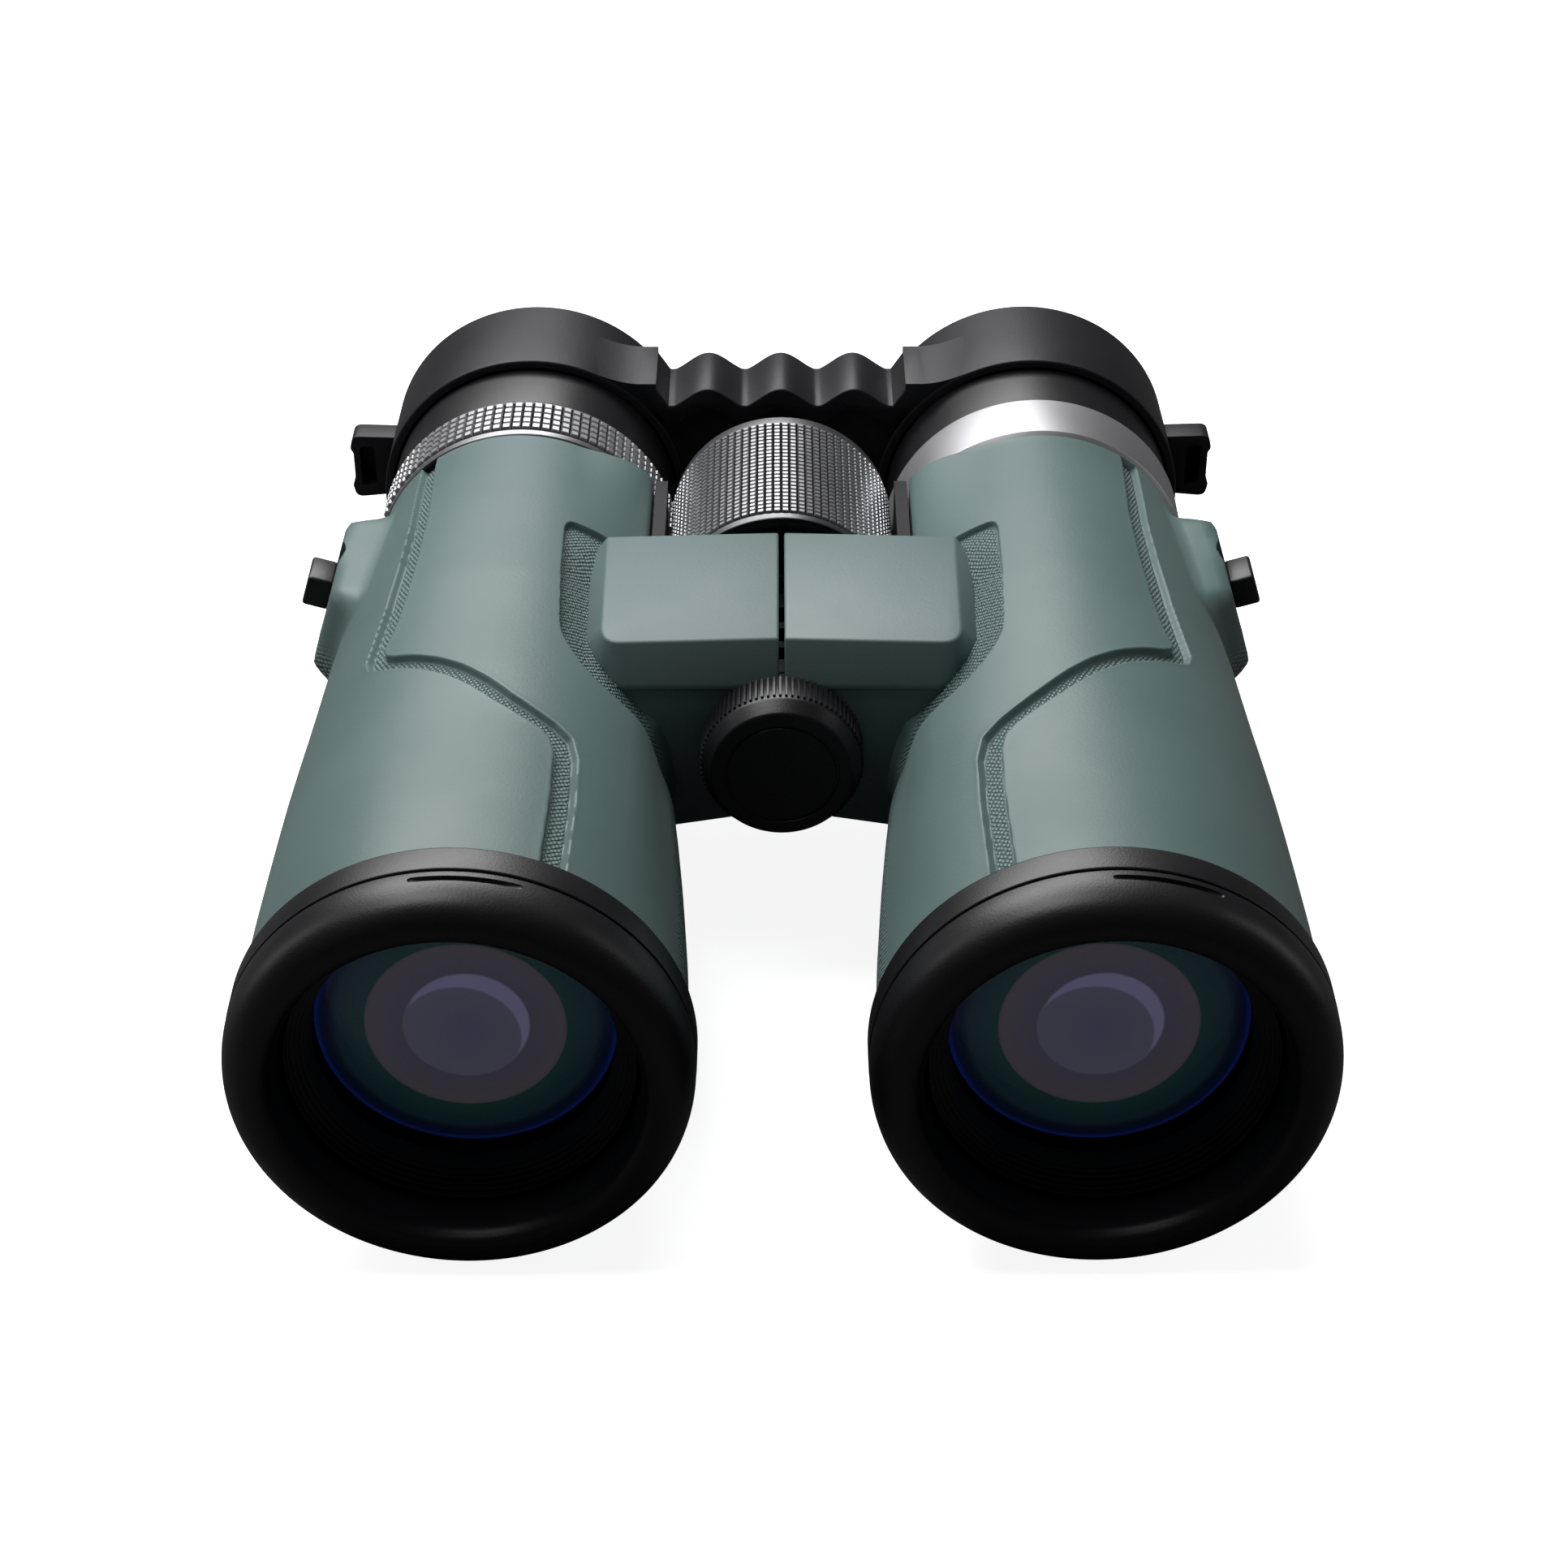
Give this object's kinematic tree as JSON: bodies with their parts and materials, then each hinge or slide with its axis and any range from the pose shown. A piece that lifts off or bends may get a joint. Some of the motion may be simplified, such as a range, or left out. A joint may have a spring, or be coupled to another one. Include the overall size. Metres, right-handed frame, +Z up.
{
  "type": "binoculars",
  "caption": "Roof-prism binoculars with a folding bridge, centre focus wheel, diopter ring, twist-up eyecups, tripod socket with cap, and a two-cup rain guard.",
  "frame": {"origin": "middle of the underside of the object's box, between the barrels", "axes": "+Y from the objectives to the eyepieces along the optical axes, +Z up, +X to the right seen from behind"},
  "size_m": [0.1278, 0.156, 0.052],
  "materials": {
    "armour": "matt grey-green rubber with a fine grain",
    "black_plastic": "satin black",
    "black_rubber": "matt black",
    "magnesium": "dark grey coating on a magnesium casting",
    "satin_metal": "satin silver",
    "steel": "turned",
    "brass": "turned",
    "glass": "coated optical glass"
  },
  "bodies": {
    "left_barrel": {"left_chassis": "magnesium", "left_armour": "armour", "left_strap_post": "black_plastic", "left_bridge_cover": "armour", "left_wheel_rail": "magnesium", "left_collar": "black_plastic", "left_bezel": "black_plastic", "left_retaining_ring": "black_plastic", "left_objective_lens": "glass", "left_prism_mount": "black_plastic", "left_roof_prism": "glass", "left_eyepiece_housing": "black_plastic", "left_eyepiece_lens": "glass", "tripod_socket_axle": "steel", "rear_axle_sleeve": "brass"},
    "right_barrel": {"right_chassis": "magnesium", "right_armour": "armour", "right_strap_post": "black_plastic", "right_bridge_cover": "armour", "right_wheel_rail": "magnesium", "right_collar": "black_plastic", "right_bezel": "black_plastic", "right_retaining_ring": "black_plastic", "right_objective_lens": "glass", "right_prism_mount": "black_plastic", "right_roof_prism": "glass", "right_eyepiece_housing": "black_plastic", "right_eyepiece_lens": "glass", "right_trim_ring": "satin_metal"},
    "focus_knob": {"focus_wheel": "satin_metal", "focus_wheel_cap": "black_plastic", "focus_screw": "steel", "thrust_washer": "brass"},
    "focus_carriage": {"focus_spool": "brass"},
    "left_focusing": {"left_focus_cell": "magnesium", "left_focus_lens": "glass"},
    "right_focusing": {"right_focus_cell": "magnesium", "right_focus_lens": "glass"},
    "diopter": {"diopter_ring": "satin_metal"},
    "diopter_optics": {"diopter_cell": "magnesium", "diopter_lens": "glass"},
    "left_cup_lift": {"left_eyecup_guide": "black_plastic"},
    "left_cup": {"left_eyecup_sleeve": "black_plastic", "left_eyecup": "black_rubber"},
    "right_cup_lift": {"right_eyecup_guide": "black_plastic"},
    "right_cup": {"right_eyecup_sleeve": "black_plastic", "right_eyecup": "black_rubber"},
    "rain_guard_left": {"left_guard": "black_rubber"},
    "rain_guard_right": {"right_guard": "black_rubber"},
    "cap_travel": {"tripod_cap_washer": "black_rubber"},
    "cap": {"tripod_cap": "black_plastic"}
  },
  "joints": [
    {"name": "bridge_hinge", "type": "hinge", "parent": "left_barrel", "child": "right_barrel", "pos_m": [0, 0, 0.033], "axis": [0, 1, 0], "range_deg": [0, 52]},
    {"name": "focus_turn", "type": "hinge", "parent": "left_barrel", "child": "focus_knob", "pos_m": [0, 0, 0.033], "axis": [0, 1, 0], "range_deg": [-200, 200]},
    {"name": "spool_slide", "type": "slide", "parent": "left_barrel", "child": "focus_carriage", "axis": [0, 1, 0], "range_m": [-0.002, 0.002]},
    {"name": "left_focus_slide", "type": "slide", "parent": "left_barrel", "child": "left_focusing", "axis": [0, 1, 0], "range_m": [-0.002, 0.002]},
    {"name": "right_focus_slide", "type": "slide", "parent": "right_barrel", "child": "right_focusing", "axis": [0, 1, 0], "range_m": [-0.002, 0.002]},
    {"name": "diopter_turn", "type": "hinge", "parent": "left_barrel", "child": "diopter", "pos_m": [-0.0355, 0, 0.026], "axis": [0, 1, 0], "range_deg": [-40, 40]},
    {"name": "diopter_slide", "type": "slide", "parent": "left_barrel", "child": "diopter_optics", "axis": [0, 1, 0], "range_m": [-0.0012, 0.0012]},
    {"name": "left_cup_rise", "type": "slide", "parent": "left_barrel", "child": "left_cup_lift", "axis": [0, 1, 0], "range_m": [0, 0.0051]},
    {"name": "left_cup_twist", "type": "hinge", "parent": "left_cup_lift", "child": "left_cup", "pos_m": [-0.0355, 0, 0.026], "axis": [0, 1, 0], "range_deg": [0, 90]},
    {"name": "right_cup_rise", "type": "slide", "parent": "right_barrel", "child": "right_cup_lift", "axis": [0, 1, 0], "range_m": [0, 0.0051]},
    {"name": "right_cup_twist", "type": "hinge", "parent": "right_cup_lift", "child": "right_cup", "pos_m": [0.0355, 0, 0.026], "axis": [0, 1, 0], "range_deg": [0, 90]},
    {"name": "guard_slide", "type": "slide", "parent": "left_barrel", "child": "rain_guard_left", "axis": [0, 1, 0], "range_m": [0, 0.03]},
    {"name": "guard_fold", "type": "hinge", "parent": "rain_guard_left", "child": "rain_guard_right", "pos_m": [0, 0, 0.033], "axis": [0, 1, 0], "range_deg": [0, 52.5]},
    {"name": "cap_unscrew_slide", "type": "slide", "parent": "left_barrel", "child": "cap_travel", "axis": [0, -1, 0], "range_m": [0, 0.0051]},
    {"name": "cap_unscrew_turn", "type": "hinge", "parent": "cap_travel", "child": "cap", "pos_m": [0, 0, 0.033], "axis": [0, 1, 0], "range_deg": [0, 1417]}
  ],
  "couplings": [
    {"joint": "spool_slide", "follows": "focus_turn", "m_per_rad": 0.00057296},
    {"joint": "left_focus_slide", "follows": "focus_turn", "m_per_rad": 0.00057296},
    {"joint": "right_focus_slide", "follows": "focus_turn", "m_per_rad": 0.00057296},
    {"joint": "diopter_slide", "follows": "diopter_turn", "m_per_rad": 0.0017189},
    {"joint": "left_cup_rise", "follows": "left_cup_twist", "m_per_rad": 0.0031831},
    {"joint": "right_cup_rise", "follows": "right_cup_twist", "m_per_rad": 0.0031831},
    {"joint": "guard_fold", "follows": "bridge_hinge", "ratio": 1},
    {"joint": "cap_unscrew_slide", "follows": "cap_unscrew_turn", "m_per_rad": 0.00020217}
  ]
}
